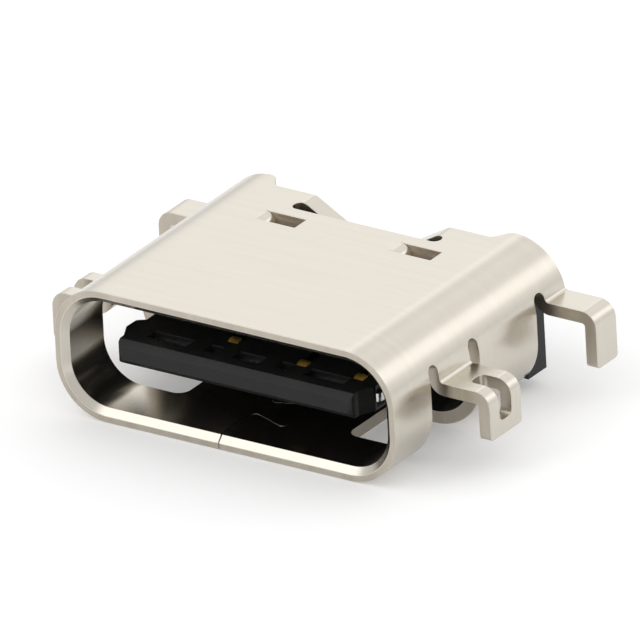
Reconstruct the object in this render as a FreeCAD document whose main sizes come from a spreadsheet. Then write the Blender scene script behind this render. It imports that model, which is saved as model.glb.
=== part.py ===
"""Mid-mount USB-C socket, six contacts, millimetres.

X runs across the mouth, Y from the mouth to the rear, Z up.
Every sketch is drawn from the centre of the mouth: Y = 0 is the front face of the shell
and Z = 0 is the middle of the tongue, which is also the top of the board it is soldered to.
The placement of each piece then moves the origin to the bottom centre of the whole part.
"""
import FreeCAD, Part
import Sketcher
import math
import os

V = FreeCAD.Vector

SIZES = {
    # Formed sheet shell
    "shell_width": 8.94,
    "shell_height": 3.16,
    "shell_corner": 1.28,
    "sheet": 0.30,
    "shell_depth": 6.82,
    "mouth_chamfer": 0.15,
    "side_end": 5.64,
    "top_end": 6.40,
    "step_inner": 2.86,
    "step_outer": 3.10,
    "step_radius": 0.20,
    # Slit and swaged bridge at the rear of the top
    "slit_front": 5.60,
    "slit_width": 0.33,
    "slit_half_length": 1.93,
    "bridge_half_width": 1.75,
    "bridge_depth": 0.60,
    "bridge_slope": 30.0,
    "bridge_bend": 0.05,
    # Windows in the top with the tabs bent down from their left ends
    "window_offset": 1.785,
    "window_length": 1.055,
    "window_front": 4.77,
    "window_width": 0.46,
    "tab_shoulder": 0.30,
    "tab_reach": 0.55,
    # Side openings that the front legs are cut from
    "opening_front": 1.465,
    "opening_length": 1.91,
    "opening_inner": 2.15,
    "opening_corner": 0.28,
    "slot_width": 0.345,
    "slot_top": 0.78,
    "rear_slot_width": 0.385,
    # Legs
    "leg_face": 5.76,
    "leg_bend": 0.08,
    "leg_root": 0.06,
    "leg_tip": 0.84,
    "leg_tip_corner": 0.11,
    "front_leg_top": 0.31,
    "rear_leg_top": 0.50,
    "leg_hole_inner": 5.0,
    "leg_hole_width": 0.47,
    "leg_hole_bottom": 0.49,
    "leg_hole_corner": 0.16,
    # Dovetailed seam in the bottom
    "seam_gap": 0.03,
    "seam_offset": -0.26,
    "key_centre": 1.74,
    "key_neck": 0.58,
    "key_head": 1.34,
    "key_length": 1.01,
    "key_corner": 0.12,
    # Moulded housing and tongue
    "fit": 0.02,
    "base_front": 4.55,
    "base_rear": 6.38,
    "tongue_tip": 0.35,
    "tongue_thickness": 0.60,
    "tongue_chamfer": 0.15,
    "tip_half_width": 3.08,
    "tip_corner": 0.12,
    "lip_half_width": 3.27,
    "lip_front": 0.65,
    "lip_run": 0.38,
    "lip_end": 1.42,
    "notch_end": 2.95,
    "notch_run": 0.14,
    "pit_front": 0.80,
    "pit_rear": 1.15,
    "pit_middle": 0.68,
    "pit_inner_start": 0.76,
    "pit_inner_end": 1.10,
    "pit_outer_start": 1.54,
    "pit_outer_end": 2.58,
    # Metal plate in the middle of the tongue
    "plate": 0.20,
    "plate_half_width": 2.95,
    "plate_front": 0.60,
    "plate_rear": 4.30,
    "ear_half_width": 3.345,
    "ear_front": 1.02,
    "latch_half_width": 3.13,
    # Contacts
    "pitch": 0.50,
    "contact_width": 0.25,
    "contact_sheet": 0.15,
    "contact_height": 0.35,
    "power_start": 1.12,
    "signal_start": 1.41,
    "tip_run": 0.13,
    "tip_drop": 0.065,
    "crank_start": 4.80,
    "crank_run": 0.35,
    "crank_bend": 0.08,
    "crank_shift": 0.06,
    "tail_end": 7.30,
    "tail_width": 0.60,
    "tail_flare": 5.35,
    "flare_run": 0.40,
    "power_tail": 1.52,
    "ground_tail": 2.75,
    "signal_tail": 0.50,
}


def make_sheet(doc):
    """Spreadsheet with one named cell for every size."""
    sheet = doc.addObject("Spreadsheet::Sheet", "Sizes")
    for row, (name, value) in enumerate(SIZES.items(), start=1):
        sheet.set("A%d" % row, name)
        sheet.set("B%d" % row, str(value))
        sheet.setAlias("B%d" % row, name)
    doc.recompute()
    return sheet


def value(sheet, expression):
    """Number that an expression of the sheet gives."""
    result = sheet.evalExpression(expression)
    return float(getattr(result, "Value", result))


def bound(expression):
    """The same expression as seen from outside the sheet."""
    text = expression
    for name in sorted(SIZES, key=len, reverse=True):
        text = text.replace(name, "<" + str(list(SIZES).index(name)) + ">")
    for index, name in enumerate(SIZES):
        text = text.replace("<" + str(index) + ">", "Sizes." + name)
    return text


def place(item):
    """Moves a piece from the mouth's frame to the frame of the whole part."""
    item.setExpression("Placement.Base.y", "-Sizes.tail_end / 2")
    item.setExpression("Placement.Base.z", "Sizes.shell_height / 2")


def make_body(doc, label):
    body = doc.addObject("PartDesign::Body", label)
    body.Label = label
    place(body)
    return body


def plane(body, role):
    for item in body.Origin.OriginFeatures:
        if item.Role == role:
            return item
    raise RuntimeError("no plane " + role)


def make_sketch(body, name, role, offset=None):
    """Sketch on one of the body's own planes, moved along the plane's normal."""
    sketch = body.newObject("Sketcher::SketchObject", name)
    sketch.AttachmentSupport = [(plane(body, role), "")]
    sketch.MapMode = "FlatFace"
    if offset is not None:
        sketch.setExpression("AttachmentOffset.Base.z", bound(offset))
    return sketch


def constrain(sketch, kind, where, expression):
    """Adds a dimension and binds it to the sheet."""
    sheet = sketch.Document.getObject("Sizes")
    index = sketch.addConstraint(Sketcher.Constraint(kind, *where, value(sheet, expression)))
    sketch.setExpression("Constraints[%d]" % index, bound(expression))


def turning_arc(first, near, last):
    """Arc through three points, always anticlockwise, and which of its ends comes first."""
    turn = (near - first).cross(last - near).z
    if turn > 0:
        return Part.Arc(first, near, last), 1, 2
    return Part.Arc(last, near, first), 2, 1


def draw(sketch, corners):
    """Closed outline through corners (x, y, radius), each an expression of the sheet."""
    sheet = sketch.Document.getObject("Sizes")
    points = [V(value(sheet, x), value(sheet, y), 0) for x, y, radius in corners]
    count = len(points)
    starts, ends, arcs = [], [], {}
    for i, (x, y, radius) in enumerate(corners):
        here, before, after = points[i], points[i - 1], points[(i + 1) % count]
        if radius is None:
            starts.append(here)
            ends.append(here)
            continue
        size = value(sheet, radius)
        back = (before - here).normalize()
        ahead = (after - here).normalize()
        half = math.acos(max(-1.0, min(1.0, back.dot(ahead)))) / 2
        reach = size / math.tan(half)
        middle = (back + ahead).normalize() * (size / math.sin(half)) + here
        first, last = here + back * reach, here + ahead * reach
        near = middle + (here - middle).normalize() * size
        ends.append(first)
        starts.append(last)
        arcs[i] = turning_arc(first, near, last)
    lines = []
    for i in range(count):
        lines.append(sketch.addGeometry(Part.LineSegment(starts[i], ends[(i + 1) % count]), False))
    for i, (x, y, radius) in enumerate(corners):
        before, after = lines[i - 1], lines[i]
        if radius is None:
            sketch.addConstraint(Sketcher.Constraint("Coincident", before, 2, after, 1))
            constrain(sketch, "DistanceX", (-1, 1, after, 1), x)
            constrain(sketch, "DistanceY", (-1, 1, after, 1), y)
            continue
        arc_shape, one, two = arcs[i]
        curve = sketch.addGeometry(arc_shape, False)
        sketch.addConstraint(Sketcher.Constraint("Tangent", before, 2, curve, one))
        sketch.addConstraint(Sketcher.Constraint("Tangent", after, 1, curve, two))
        constrain(sketch, "Radius", (curve,), radius)
        corner = sketch.addGeometry(Part.Point(points[i]), True)
        sketch.addConstraint(Sketcher.Constraint("PointOnObject", corner, 1, before))
        sketch.addConstraint(Sketcher.Constraint("PointOnObject", corner, 1, after))
        constrain(sketch, "DistanceX", (-1, 1, corner, 1), x)
        constrain(sketch, "DistanceY", (-1, 1, corner, 1), y)


def both_sides(right):
    """Outline that is the same on the left as on the right, given from front to rear."""
    left = [("-(%s)" % x, y, r) for x, y, r in reversed(right)]
    return right + left


def rectangle(sketch, left, right, low, high, radius=None):
    draw(sketch, [(left, low, radius), (right, low, radius), (right, high, radius), (left, high, radius)])


def pad(body, sketch, name, length, both=False, reverse=False):
    feature = body.newObject("PartDesign::Pad", name)
    feature.Profile = sketch
    feature.setExpression("Length", bound(length))
    feature.Midplane = both
    feature.Reversed = reverse
    return feature


def pocket(body, sketch, name, length, both=False, reverse=False):
    feature = body.newObject("PartDesign::Pocket", name)
    feature.Profile = sketch
    feature.setExpression("Length", bound(length))
    feature.Midplane = both
    feature.Reversed = reverse
    return feature


def half_ring(sheet):
    """Radii and centre of the rounded upper corner, outside and inside."""
    outer = value(sheet, "shell_corner")
    centre_x = value(sheet, "shell_width / 2 - shell_corner")
    centre_z = value(sheet, "shell_height / 2 - shell_corner")
    return centre_x, centre_z, outer, outer - value(sheet, "sheet")


def leg_root(sheet, top):
    """Angle at which the wall leaves the corner's arc, and the centre of the root bend."""
    centre_x, centre_z, outer, inner = half_ring(sheet)
    root = value(sheet, "leg_root")
    rise = value(sheet, top) + root - centre_z
    angle = math.asin(rise / (outer + root))
    return angle, centre_x + (outer + root) * math.cos(angle), centre_z + rise


def join(sketch, pieces):
    """Adds lines and arcs that meet end to end, and ties their ends."""
    first = None
    last = None
    for points in pieces:
        if len(points) == 2:
            piece, one, two = Part.LineSegment(*points), 1, 2
        else:
            piece, one, two = turning_arc(*points)
        index = sketch.addGeometry(piece, False)
        if last is not None:
            sketch.addConstraint(Sketcher.Constraint("Coincident", last[0], last[1], index, one))
        else:
            first = (index, one)
        last = (index, two)
    sketch.addConstraint(Sketcher.Constraint("Coincident", last[0], last[1], first[0], first[1]))


def arc(centre, radius, start, end):
    """Three points of an arc about a centre between two angles."""
    angles = (start, (start + end) / 2, end)
    return [V(centre[0] + radius * math.cos(a), centre[1] + radius * math.sin(a), 0) for a in angles]


def leg_profile(sketch, top, side):
    """Section of a leg: root bend, wing, outer bend and the part that goes through the board."""
    sheet = sketch.Document.getObject("Sizes")
    centre_x, centre_z, outer, inner = half_ring(sheet)
    thick = value(sheet, "sheet")
    root = value(sheet, "leg_root")
    bend = value(sheet, "leg_bend")
    face = value(sheet, "leg_face")
    height = value(sheet, top)
    tip = -value(sheet, "leg_tip")
    angle, root_x, root_z = leg_root(sheet, top)
    start = math.asin((value(sheet, "slot_top - slot_width / 2") - centre_z) / inner)
    pieces = []
    pieces.append(arc((centre_x, centre_z), outer, start, angle))
    pieces.append(arc((root_x, root_z), root, math.pi + angle, 1.5 * math.pi))
    bend_x = face - bend - thick
    bend_z = height - bend - thick
    pieces.append([V(root_x, height, 0), V(bend_x, height, 0)])
    pieces.append(arc((bend_x, bend_z), bend + thick, math.pi / 2, 0))
    pieces.append([V(face, bend_z, 0), V(face, tip, 0)])
    pieces.append([V(face, tip, 0), V(face - thick, tip, 0)])
    pieces.append([V(face - thick, tip, 0), V(face - thick, bend_z, 0)])
    pieces.append(arc((bend_x, bend_z), bend, 0, math.pi / 2))
    pieces.append([V(bend_x, height - thick, 0), V(root_x, height - thick, 0)])
    pieces.append(arc((root_x, root_z), root + thick, 1.5 * math.pi, math.pi + angle))
    pieces.append(arc((centre_x, centre_z), inner, angle, start))
    pieces.append([pieces[-1][-1], pieces[0][0]])
    if side < 0:
        pieces = [[V(-p.x, p.y, 0) for p in points] for points in pieces]
    join(sketch, pieces)


def seam_path(sheet):
    """Corners of the seam from the mouth to the rear end, with the radius of each."""
    x = value(sheet, "seam_offset")
    head = x + value(sheet, "key_length")
    centre = value(sheet, "key_centre")
    neck = value(sheet, "key_neck / 2")
    wide = value(sheet, "key_head / 2")
    radius = value(sheet, "key_corner")
    end = value(sheet, "side_end")
    return [
        (V(x, -0.5, 0), 0),
        (V(x, centre - neck, 0), radius),
        (V(head, centre - wide, 0), radius),
        (V(head, centre + wide, 0), radius),
        (V(x, centre + neck, 0), radius),
        (V(x, end + 0.5, 0), 0),
    ]


def offset_path(path, distance):
    """The path moved sideways, with its bends growing or shrinking by the same distance."""
    points = [point for point, radius in path]
    moved = []
    for i, (point, radius) in enumerate(path):
        before = (points[i] - points[i - 1]).normalize() if i > 0 else None
        after = (points[i + 1] - points[i]).normalize() if i < len(points) - 1 else None
        one = before or after
        two = after or before
        left_one = V(-one.y, one.x, 0)
        left_two = V(-two.y, two.x, 0)
        bisector = (left_one + left_two).normalize()
        turn = one.x * two.y - one.y * two.x
        reach = distance / bisector.dot(left_one)
        size = 0 if radius == 0 else radius - distance * (1 if turn > 0 else -1)
        moved.append((point + bisector * reach, size))
    return moved


def rounded_path(path):
    """Lines and arcs along a path whose corners carry radii."""
    pieces = []
    cursor = path[0][0]
    for i in range(1, len(path) - 1):
        here, radius = path[i]
        back = (path[i - 1][0] - here).normalize()
        ahead = (path[i + 1][0] - here).normalize()
        half = math.acos(back.dot(ahead)) / 2
        reach = radius / math.tan(half)
        middle = here + (back + ahead).normalize() * (radius / math.sin(half))
        near = middle + (here - middle).normalize() * radius
        first, last = here + back * reach, here + ahead * reach
        pieces.append([cursor, first])
        pieces.append([first, near, last])
        cursor = last
    pieces.append([cursor, path[-1][0]])
    return pieces


def seam_outline(sketch):
    """Thin gap that follows the seam and its dovetailed key."""
    sheet = sketch.Document.getObject("Sizes")
    gap = value(sheet, "seam_gap")
    left = rounded_path(offset_path(seam_path(sheet), gap / 2))
    right = rounded_path(offset_path(seam_path(sheet), -gap / 2))
    back = [points[::-1] for points in reversed(right)]
    outline = left + [[left[-1][-1], back[0][0]]] + back + [[back[-1][-1], left[0][0]]]
    join(sketch, outline)


def cut_rear(body):
    """Rear end of the sides and bottom, the step of the top, and the slit behind the windows."""
    sketch = make_sketch(body, "side_trim", "YZ_Plane")
    draw(sketch, [
        ("side_end", "-shell_height", None),
        ("side_end", "slot_top", "rear_slot_width * 0.49"),
        ("side_end + rear_slot_width", "slot_top", "rear_slot_width * 0.49"),
        ("side_end + rear_slot_width", "slot_top - slot_width / 2 - 0.02", None),
        ("shell_depth + 1", "slot_top - slot_width / 2 - 0.02", None),
        ("shell_depth + 1", "-shell_height", None),
    ])
    pocket(body, sketch, "side_trim_cut", "shell_width * 2", both=True)
    sketch = make_sketch(body, "top_trim", "XY_Plane", "shell_height")
    draw(sketch, both_sides([
        ("step_inner", "top_end", "step_radius"),
        ("step_outer", "shell_depth", "step_radius"),
        ("step_outer + 0.6", "shell_depth", None),
        ("step_outer + 0.6", "shell_depth + 1", None),
    ]))
    pocket(body, sketch, "top_trim_cut", "shell_height")
    sketch = make_sketch(body, "slit", "XY_Plane", "shell_height")
    radius = "slit_width * 0.49"
    rectangle(sketch, "-slit_half_length", "slit_half_length", "slit_front", "slit_front + slit_width", radius)
    pocket(body, sketch, "slit_cut", "shell_height")


def form_bridge(body):
    """The strip behind the slit, swaged down to a valley that holds the housing."""
    end = "bridge_half_width + 0.12"
    run = "bridge_depth / tan(bridge_slope * 1deg)"
    shift = "sheet * tan(bridge_slope * 0.5deg)"
    top = "shell_height / 2"
    sketch = make_sketch(body, "strip", "XY_Plane", "shell_height")
    rectangle(sketch, "-(%s)" % end, end, "slit_front + slit_width - 0.1", "top_end + 0.2")
    pocket(body, sketch, "strip_cut", "shell_height")
    sketch = make_sketch(body, "valley", "XZ_Plane", "-(slit_front + slit_width)")
    wide = "bridge_bend + sheet"
    narrow = "bridge_bend"
    high = [(end, top, None), ("bridge_half_width", top, wide)]
    high.append(("bridge_half_width - " + run, top + " - bridge_depth", narrow))
    low = [("bridge_half_width + %s - %s" % (shift, run), top + " - bridge_depth - sheet", wide)]
    low.append(("bridge_half_width + " + shift, top + " - sheet", narrow))
    low.append((end, top + " - sheet", None))
    over = [("-(%s)" % x, z, r) for x, z, r in high]
    under = [("-(%s)" % x, z, r) for x, z, r in low]
    draw(sketch, over + list(reversed(high)) + list(reversed(low)) + under)
    pad(body, sketch, "valley_pad", "top_end - slit_front - slit_width", reverse=True)


def cut_openings(body):
    """Openings left by the front legs: two slots in each side, run together around the corner."""
    sketch = make_sketch(body, "side_opening", "YZ_Plane")
    radius = "slot_width * 0.49"
    high = "slot_top"
    shelf = "slot_top - slot_width / 2 - 0.02"
    low = "-(shell_height / 2 - shell_corner) - 0.05"
    end = "opening_front + opening_length"
    draw(sketch, [
        ("opening_front", low, None),
        ("opening_front", high, radius),
        ("opening_front + slot_width", high, radius),
        ("opening_front + slot_width", shelf, None),
        ("%s - slot_width" % end, shelf, None),
        ("%s - slot_width" % end, high, radius),
        (end, high, radius),
        (end, low, None),
    ])
    pocket(body, sketch, "side_opening_cut", "shell_width * 2", both=True)
    for side, name in ((1, "right"), (-1, "left")):
        sketch = make_sketch(body, name + "_opening", "XY_Plane", low)
        inner = "opening_inner" if side > 0 else "-opening_inner"
        outer = "shell_width" if side > 0 else "-shell_width"
        corners = [
            (inner, "opening_front", "opening_corner"),
            (outer, "opening_front", None),
            (outer, end, None),
            (inner, end, "opening_corner"),
        ]
        draw(sketch, corners)
        pocket(body, sketch, name + "_opening_cut", "shell_height")


def form_tabs(body):
    """Two windows in the top, each with a tab bent down from its left end."""
    edges = ["-window_offset - window_length / 2", "window_offset - window_length / 2"]
    for name, left in zip(("left", "right"), edges):
        sketch = make_sketch(body, name + "_window", "XY_Plane", "shell_height")
        rectangle(sketch, left, left + " + window_length", "window_front", "window_front + window_width")
        pocket(body, sketch, name + "_window_cut", "shell_height")
        sketch = make_sketch(body, name + "_tab", "XZ_Plane", "-window_front")
        top = "shell_height / 2"
        face = left + " + tab_shoulder"
        draw(sketch, [
            (left + " - sheet", top, None),
            (face, top, "tab_shoulder"),
            (face, top + " - sheet - tab_reach", None),
            (face + " - sheet", top + " - sheet - tab_reach", None),
            (face + " - sheet", top + " - sheet", None),
            (left + " - sheet", top + " - sheet", None),
        ])
        pad(body, sketch, name + "_tab_pad", "window_width", reverse=True)


def form_legs(body):
    """Four legs bent out of the sides and down through the board, the front pair pierced."""
    rows = [
        ("front", "front_leg_top", "opening_front + slot_width", "opening_length - 2 * slot_width"),
        ("rear", "rear_leg_top", "side_end + rear_slot_width", "shell_depth - side_end - rear_slot_width"),
    ]
    for name, top, start, length in rows:
        sketch = make_sketch(body, name + "_legs", "XZ_Plane", "-(%s)" % start)
        leg_profile(sketch, top, 1)
        leg_profile(sketch, top, -1)
        pad(body, sketch, name + "_legs_pad", length, reverse=True)
    centre = "opening_front + opening_length / 2"
    low = centre + " - leg_hole_width / 2"
    high = centre + " + leg_hole_width / 2"
    for side, name in ((1, "right"), (-1, "left")):
        sketch = make_sketch(body, name + "_wing_hole", "XY_Plane", "front_leg_top + 0.1")
        sign = "" if side > 0 else "-"
        draw(sketch, [
            (sign + "leg_hole_inner", low, "leg_hole_corner"),
            (sign + "(leg_face + 0.5)", low, None),
            (sign + "(leg_face + 0.5)", high, None),
            (sign + "leg_hole_inner", high, "leg_hole_corner"),
        ])
        pocket(body, sketch, name + "_wing_hole_cut", "front_leg_top + 0.2")
        sketch = make_sketch(body, name + "_leg_hole", "YZ_Plane", sign + "(leg_face + 0.5)")
        draw(sketch, [
            (low, "-leg_hole_bottom", "leg_hole_corner"),
            (high, "-leg_hole_bottom", "leg_hole_corner"),
            (high, "0", None),
            (low, "0", None),
        ])
        pocket(body, sketch, name + "_leg_hole_cut", "sheet + 0.7", reverse=side < 0)


def round_tips(body):
    """Corners at the lower ends of the legs."""
    body.Document.recompute()
    sheet = body.Document.getObject("Sizes")
    tip = -value(sheet, "leg_tip")
    thick = value(sheet, "sheet")
    names = []
    shape = body.Tip.Shape
    for index, edge in enumerate(shape.Edges, start=1):
        middle = edge.CenterOfMass
        if abs(middle.z - tip) < 1e-4 and abs(edge.Length - thick) < 1e-4:
            names.append("Edge%d" % index)
    before = body.Tip
    fillet = body.newObject("PartDesign::Fillet", "tip_corners")
    fillet.Base = (before, names)
    fillet.setExpression("Radius", "Sizes.leg_tip_corner")
    body.Tip = fillet
    return len(names)


def bevel_mouth(body):
    """Lead-in around the inside of the mouth."""
    body.Document.recompute()
    sheet = body.Document.getObject("Sizes")
    inner_x = value(sheet, "shell_width / 2 - sheet")
    inner_z = value(sheet, "shell_height / 2 - sheet")
    names = []
    for index, edge in enumerate(body.Tip.Shape.Edges, start=1):
        box = edge.BoundBox
        flat = abs(box.YMin) < 1e-5 and abs(box.YMax) < 1e-5
        inside = max(-box.XMin, box.XMax) < inner_x + 1e-3 and max(-box.ZMin, box.ZMax) < inner_z + 1e-3
        if flat and inside:
            names.append("Edge%d" % index)
    before = body.Tip
    chamfer = body.newObject("PartDesign::Chamfer", "mouth_lead_in")
    chamfer.Base = (before, names)
    chamfer.setExpression("Size", "Sizes.mouth_chamfer")
    body.Tip = chamfer
    return len(names)


def make_shell(doc):
    """One sheet formed round the tongue, closed by a dovetailed seam underneath."""
    body = make_body(doc, "shell")
    sketch = make_sketch(body, "ring", "XZ_Plane")
    side, top = "shell_width / 2", "shell_height / 2"
    rectangle(sketch, "-" + side, side, "-" + top, top, "shell_corner")
    rectangle(sketch, "sheet - " + side, side + " - sheet", "sheet - " + top, top + " - sheet", "shell_corner - sheet")
    pad(body, sketch, "ring_pad", "shell_depth", reverse=True)
    print("mouth edges", bevel_mouth(body))
    cut_rear(body)
    form_bridge(body)
    cut_openings(body)
    form_tabs(body)
    form_legs(body)
    print("tip corners", round_tips(body))
    sketch = make_sketch(body, "seam", "XY_Plane", "-shell_height / 2 + sheet + 0.1")
    seam_outline(sketch)
    pocket(body, sketch, "seam_cut", "sheet + 0.3")
    return body


def make_contact(doc, name, column, tail, start, row):
    """Contact in one row of the tongue, cranked to the board's level and widened to its tail."""
    body = make_body(doc, name)
    high, low = "contact_height", "contact_height - contact_sheet"
    outer, inner = "crank_bend + contact_sheet", "crank_bend"
    step = "crank_start + crank_run"
    if row > 0:
        near, far = "contact_sheet", "0"
        sign = ""
    else:
        near, far = "0", "contact_sheet"
        sign = "-"
    sketch = make_sketch(body, name + "_plan", "XY_Plane", "-contact_height - 0.5")
    half, wide = "contact_width / 2", "tail_width / 2"
    flare = "tail_flare + flare_run"
    draw(sketch, [
        ("%s - %s" % (column, half), start, None),
        ("%s + %s" % (column, half), start, None),
        ("%s + %s" % (column, half), "tail_flare", None),
        ("%s + %s" % (tail, wide), flare, None),
        ("%s + %s" % (tail, wide), "tail_end", None),
        ("%s - %s" % (tail, wide), "tail_end", None),
        ("%s - %s" % (tail, wide), flare, None),
        ("%s - %s" % (column, half), "tail_flare", None),
    ])
    pad(body, sketch, name + "_blank", "2 * contact_height + 1")
    above = make_sketch(body, name + "_over", "YZ_Plane")
    edge = "-" if row < 0 else ""
    limit = edge + "(contact_height + 1)"
    draw(above, [
        (start + " - 1", limit, None),
        (start + " - 1", sign + "(%s - tip_drop)" % high, None),
        (start, sign + "(%s - tip_drop)" % high, None),
        (start + " + tip_run", sign + "(%s)" % high, None),
        ("crank_start", sign + "(%s)" % high, outer),
        (step, near, inner),
        ("tail_end + 1", near, None),
        ("tail_end + 1", limit, None),
    ])
    pocket(body, above, name + "_over_cut", "shell_width * 2", both=True)
    below = make_sketch(body, name + "_under", "YZ_Plane")
    limit = ("-" if row > 0 else "") + "(contact_height + 1)"
    draw(below, [
        (start + " - 1", limit, None),
        (start + " - 1", sign + "(%s)" % low, None),
        ("crank_start - crank_shift", sign + "(%s)" % low, inner),
        (step + " - crank_shift", far, outer),
        ("tail_end + 1", far, None),
        ("tail_end + 1", limit, None),
    ])
    pocket(body, below, name + "_under_cut", "shell_width * 2", both=True)
    return body


def contact_list():
    """Name, column, tail position, front end and row of every contact."""
    power, signal = "power_start", "signal_start"
    upper = [
        ("a5", "-1.5 * pitch", "-signal_tail", signal),
        ("a9", "2.5 * pitch", "power_tail", power),
        ("a12", "5.5 * pitch", "ground_tail", power),
    ]
    lower = [
        ("b5", "1.5 * pitch", "signal_tail", signal),
        ("b9", "-2.5 * pitch", "-power_tail", power),
        ("b12", "-5.5 * pitch", "-ground_tail", power),
    ]
    rows = [(entry, 1) for entry in upper] + [(entry, -1) for entry in lower]
    return [("contact_" + entry[0], entry[1], entry[2], entry[3], row) for entry, row in rows]


def make_plate(doc):
    """Flat metal plate inside the tongue, with the ears and edges that a plug latches on."""
    body = make_body(doc, "latch_plate")
    sketch = make_sketch(body, "plate_plan", "XY_Plane")
    small = "plate * 0.4"
    draw(sketch, both_sides([
        ("plate_half_width - 0.25", "plate_front", small),
        ("plate_half_width", "plate_front + 0.25", None),
        ("plate_half_width", "ear_front - 0.12", None),
        ("ear_half_width", "ear_front + 0.10", small),
        ("ear_half_width", "lip_end", small),
        ("latch_half_width", "lip_end + notch_run", None),
        ("latch_half_width", "notch_end - 0.05", None),
        ("plate_half_width", "notch_end - 0.05", None),
        ("plate_half_width", "plate_rear", small),
    ]))
    pad(body, sketch, "plate_pad", "plate", both=True)
    return body


def cut_pits(body):
    """Pits that the mould's pins leave in front of the contacts, down to the plate."""
    middle = [("-pit_middle / 2", "pit_middle / 2")]
    inner = [("pit_inner_start", "pit_inner_end"), ("-pit_inner_end", "-pit_inner_start")]
    outer = [("pit_outer_start", "pit_outer_end"), ("-pit_outer_end", "-pit_outer_start")]
    for name, height, reverse in (("upper", "tongue_thickness / 2", False), ("lower", "-tongue_thickness / 2", True)):
        sketch = make_sketch(body, name + "_pits", "XY_Plane", height)
        for left, right in middle + inner + outer:
            rectangle(sketch, left, right, "pit_front", "pit_rear")
        pocket(body, sketch, name + "_pits_cut", "tongue_thickness / 2 - plate / 2", reverse=reverse)


def make_moulding(doc):
    """Tongue, base and rear block before the metal parts are taken out of it."""
    body = make_body(doc, "moulding")
    side = "shell_width / 2 - sheet - fit"
    top = "shell_height / 2 - sheet - fit"
    sketch = make_sketch(body, "tongue_plan", "XY_Plane")
    draw(sketch, both_sides([
        ("tip_half_width", "tongue_tip", "tip_corner"),
        ("tip_half_width", "lip_front", None),
        ("lip_half_width", "lip_front + lip_run", "0.15"),
        ("lip_half_width", "lip_end", None),
        ("tip_half_width", "lip_end + notch_run", None),
        ("tip_half_width", "notch_end", None),
        ("lip_half_width", "notch_end + notch_run", None),
        ("lip_half_width", "base_front + 0.4", None),
    ]))
    pad(body, sketch, "tongue_pad", "tongue_thickness", both=True)
    sketch = make_sketch(body, "tongue_tip_bevels", "YZ_Plane")
    half, size = "tongue_thickness / 2", "tongue_chamfer"
    for sign in ("", "-"):
        draw(sketch, [
            ("tongue_tip - 0.05", "%s(%s - %s - 0.05)" % (sign, half, size), None),
            ("tongue_tip + %s + 0.05" % size, "%s(%s + 0.05)" % (sign, half), None),
            ("tongue_tip - 0.05", "%s(%s + 0.05)" % (sign, half), None),
        ])
    pocket(body, sketch, "tongue_tip_bevels_cut", "shell_width * 2", both=True)
    cut_pits(body)
    for sign, name in (("", "right"), ("-", "left")):
        sketch = make_sketch(body, name + "_groove", "XZ_Plane", "-ear_front - 0.10")
        rectangle(sketch, sign + "tip_half_width", sign + "(lip_half_width + 0.5)", "-plate / 2 - 0.03", "plate / 2 + 0.06")
        pocket(body, sketch, name + "_groove_cut", "lip_end - ear_front - 0.10 + notch_run", reverse=False)
    sketch = make_sketch(body, "base_section", "XZ_Plane", "-base_front")
    rectangle(sketch, "-(%s)" % side, side, "-(%s)" % top, top, "shell_corner - sheet - fit")
    pad(body, sketch, "base_pad", "side_end + fit - base_front", reverse=True)
    sketch = make_sketch(body, "block_section", "XZ_Plane", "-side_end - fit")
    low = "-(shell_height / 2 - sheet)"
    draw(sketch, [
        ("-(%s)" % side, low, None),
        (side, low, None),
        (side, top, "shell_corner - sheet - fit"),
        ("-(%s)" % side, top, "shell_corner - sheet - fit"),
    ])
    pad(body, sketch, "block_pad", "base_rear - side_end - fit", reverse=True)
    run = "bridge_depth / tan(bridge_slope * 1deg)"
    shift = "(sheet + fit) * tan(bridge_slope * 0.5deg)"
    sketch = make_sketch(body, "bridge_bed", "XZ_Plane", "-(slit_front - 0.1)")
    rim = "bridge_half_width + %s + (fit + 0.1) / tan(bridge_slope * 1deg)" % shift
    draw(sketch, [
        ("-(%s)" % rim, top + " + 0.1 + fit", None),
        ("-(bridge_half_width + %s - %s)" % (shift, run), top + " - bridge_depth", None),
        ("bridge_half_width + %s - %s" % (shift, run), top + " - bridge_depth", None),
        (rim, top + " + 0.1 + fit", None),
    ])
    pocket(body, sketch, "bridge_bed_cut", "base_rear")
    for sign, name in (("-", "left"), ("", "right")):
        left = sign + "window_offset - window_length / 2"
        sketch = make_sketch(body, name + "_tab_pocket", "XY_Plane", "shell_height / 2")
        rectangle(sketch, left + " + tab_shoulder - sheet - fit", left + " + tab_shoulder + fit",
                  "window_front - fit", "window_front + window_width + fit")
        pocket(body, sketch, name + "_tab_pocket_cut", "sheet + tab_reach + 0.05")
    return body


def check(doc, pieces):
    """Stops if anything failed to rebuild."""
    for item in doc.Objects:
        if "Invalid" in item.State or "Error" in item.State:
            raise RuntimeError("%s did not rebuild" % item.Name)
    for piece in pieces:
        shape = piece.Shape
        if shape.isNull() or not shape.isValid() or len(shape.Solids) != 1:
            raise RuntimeError("%s is not one sound solid" % piece.Label)


def main():
    doc = FreeCAD.newDocument("socket")
    make_sheet(doc)
    shell = make_shell(doc)
    plate = make_plate(doc)
    contacts = [make_contact(doc, *entry) for entry in contact_list()]
    moulding = make_moulding(doc)
    metal = doc.addObject("Part::MultiFuse", "insert_metal")
    metal.Shapes = contacts + [plate]
    housing = doc.addObject("Part::Cut", "housing")
    housing.Base = moulding
    housing.Tool = metal
    housing.Label = "housing"
    doc.recompute()
    pieces = [shell, housing, plate] + contacts
    check(doc, pieces)
    os.makedirs("parts", exist_ok=True)
    for piece in pieces:
        piece.Shape.exportStep("parts/%s.step" % piece.Label)
        print(piece.Label, round(piece.Shape.Volume, 4), "mm3", len(piece.Shape.Faces), "faces")


main()
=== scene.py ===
import bpy
import bmesh
import math
import numpy as np
from mathutils import Matrix, Vector
from mathutils.geometry import delaunay_2d_cdt


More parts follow.
